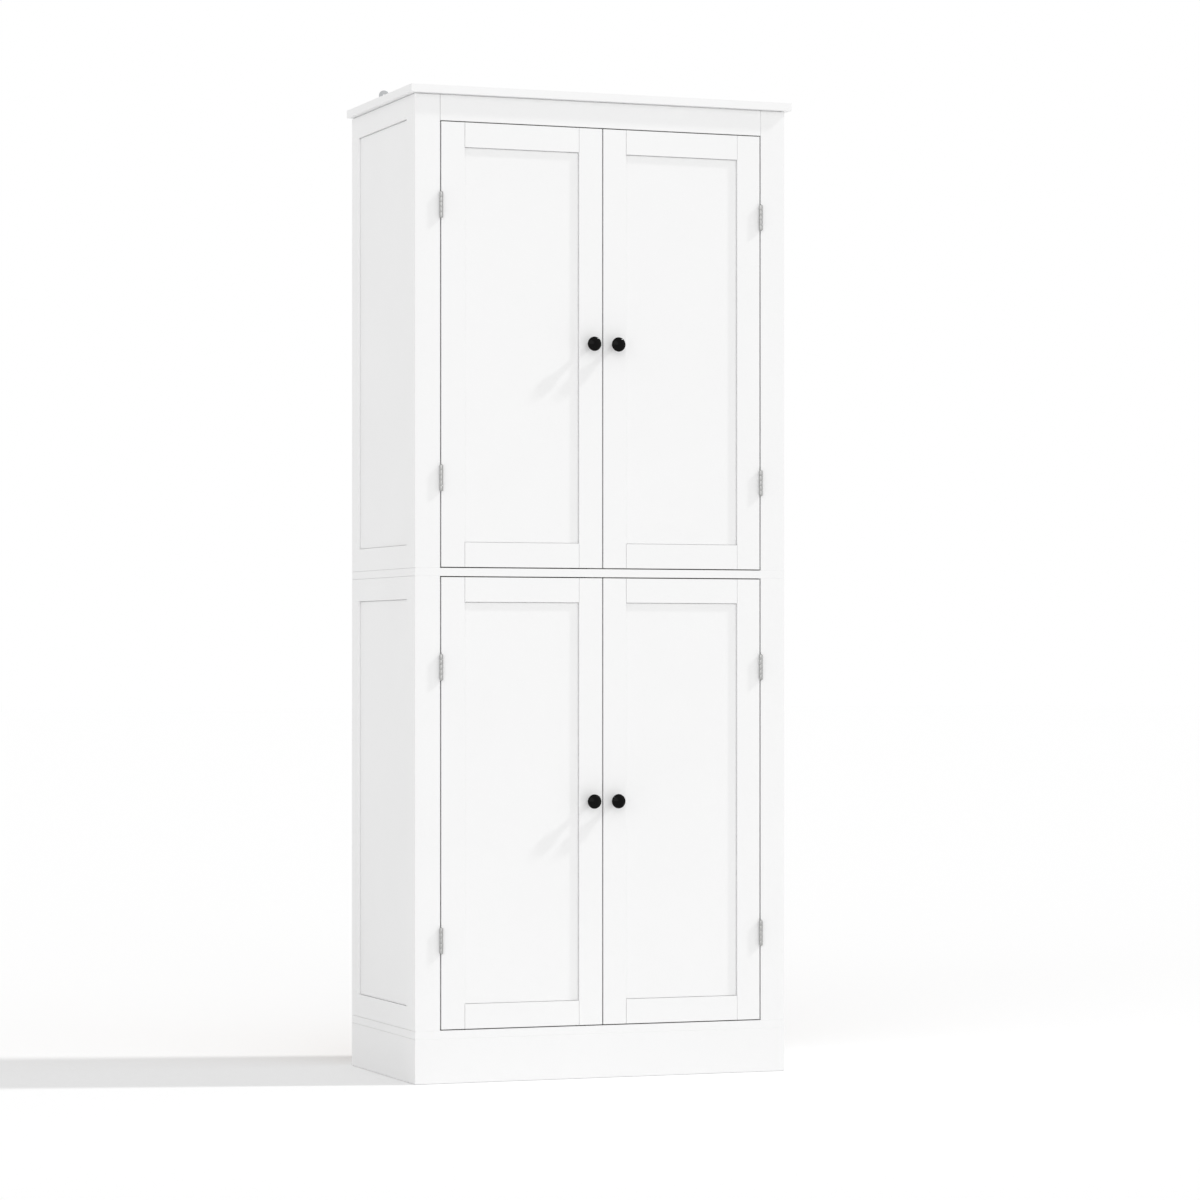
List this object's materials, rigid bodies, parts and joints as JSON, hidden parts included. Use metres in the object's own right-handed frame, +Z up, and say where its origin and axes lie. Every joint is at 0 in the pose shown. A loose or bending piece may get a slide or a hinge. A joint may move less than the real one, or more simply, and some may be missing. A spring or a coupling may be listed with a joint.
{
  "type": "pantry cabinet",
  "caption": "Tall free-standing white pantry cabinet: inset shaker doors on butt hinges, black knobs, panelled sides, plinth, loose shelves inside and wall brackets.",
  "frame": {"origin": "on the floor, at the middle of the carcass footprint, under the plinth's centre brace", "axes": "+Z up, -Y the way the doors face, +X to the right as seen from the front"},
  "size_m": [0.76, 0.4173, 1.884],
  "materials": {
    "white_painted_board": "satin white paint on fibreboard",
    "white_back_board": "white laminate on the inside, bare hardboard behind",
    "satin_hinge_steel": "satin nickel",
    "black_knob": "gloss black",
    "catch_plastic": "moulded white",
    "zinc_plated_steel": "bright zinc",
    "beech_dowel": "bare"
  },
  "bodies": {
    "carcass": {"plinth_front": "white_painted_board", "plinth_back": "white_painted_board", "plinth_brace": "white_painted_board", "plinth_left": "white_painted_board", "plinth_right": "white_painted_board", "bottom_board": "white_painted_board", "middle_board": "white_painted_board", "top_board": "white_painted_board", "top_face_rail": "white_painted_board", "lower_left_side": "white_painted_board", "lower_left_face_stile": "white_painted_board", "lower_right_side": "white_painted_board", "lower_right_face_stile": "white_painted_board", "upper_left_side": "white_painted_board", "upper_left_face_stile": "white_painted_board", "upper_right_side": "white_painted_board", "upper_right_face_stile": "white_painted_board", "lower_shelves": "white_painted_board", "upper_shelves": "white_painted_board", "lower_back_panel": "white_back_board", "upper_back_panel": "white_back_board", "shelf_pins": "zinc_plated_steel", "hinge_frame_leaves": "satin_hinge_steel", "hinge_pins": "satin_hinge_steel", "magnetic_catches": "catch_plastic", "wall_brackets": "zinc_plated_steel", "carcass_screws": "zinc_plated_steel", "dowels": "beech_dowel"},
    "lower_left_door": {"lower_left_door_hinge_stile": "white_painted_board", "lower_left_door_knob_stile": "white_painted_board", "lower_left_door_rails": "white_painted_board", "lower_left_door_panel": "white_painted_board", "lower_left_door_hinge_leaves": "satin_hinge_steel", "lower_left_door_knob": "black_knob", "lower_left_door_strike_plate": "zinc_plated_steel", "lower_left_door_screws": "zinc_plated_steel"},
    "lower_right_door": {"lower_right_door_hinge_stile": "white_painted_board", "lower_right_door_knob_stile": "white_painted_board", "lower_right_door_rails": "white_painted_board", "lower_right_door_panel": "white_painted_board", "lower_right_door_hinge_leaves": "satin_hinge_steel", "lower_right_door_knob": "black_knob", "lower_right_door_strike_plate": "zinc_plated_steel", "lower_right_door_screws": "zinc_plated_steel"},
    "upper_left_door": {"upper_left_door_hinge_stile": "white_painted_board", "upper_left_door_knob_stile": "white_painted_board", "upper_left_door_rails": "white_painted_board", "upper_left_door_panel": "white_painted_board", "upper_left_door_hinge_leaves": "satin_hinge_steel", "upper_left_door_knob": "black_knob", "upper_left_door_strike_plate": "zinc_plated_steel", "upper_left_door_screws": "zinc_plated_steel"},
    "upper_right_door": {"upper_right_door_hinge_stile": "white_painted_board", "upper_right_door_knob_stile": "white_painted_board", "upper_right_door_rails": "white_painted_board", "upper_right_door_panel": "white_painted_board", "upper_right_door_hinge_leaves": "satin_hinge_steel", "upper_right_door_knob": "black_knob", "upper_right_door_strike_plate": "zinc_plated_steel", "upper_right_door_screws": "zinc_plated_steel"}
  },
  "joints": [
    {"name": "lower_left_door_hinge", "type": "hinge", "parent": "carcass", "child": "lower_left_door", "pos_m": [-0.3197, -0.1992, 0.5175], "axis": [0, 0, -1], "range_deg": [0, 180]},
    {"name": "lower_right_door_hinge", "type": "hinge", "parent": "carcass", "child": "lower_right_door", "pos_m": [0.3197, -0.1992, 0.5175], "axis": [0, 0, 1], "range_deg": [0, 180]},
    {"name": "upper_left_door_hinge", "type": "hinge", "parent": "carcass", "child": "upper_left_door", "pos_m": [-0.3197, -0.1992, 1.365], "axis": [0, 0, -1], "range_deg": [0, 180]},
    {"name": "upper_right_door_hinge", "type": "hinge", "parent": "carcass", "child": "upper_right_door", "pos_m": [0.3197, -0.1992, 1.365], "axis": [0, 0, 1], "range_deg": [0, 180]}
  ]
}
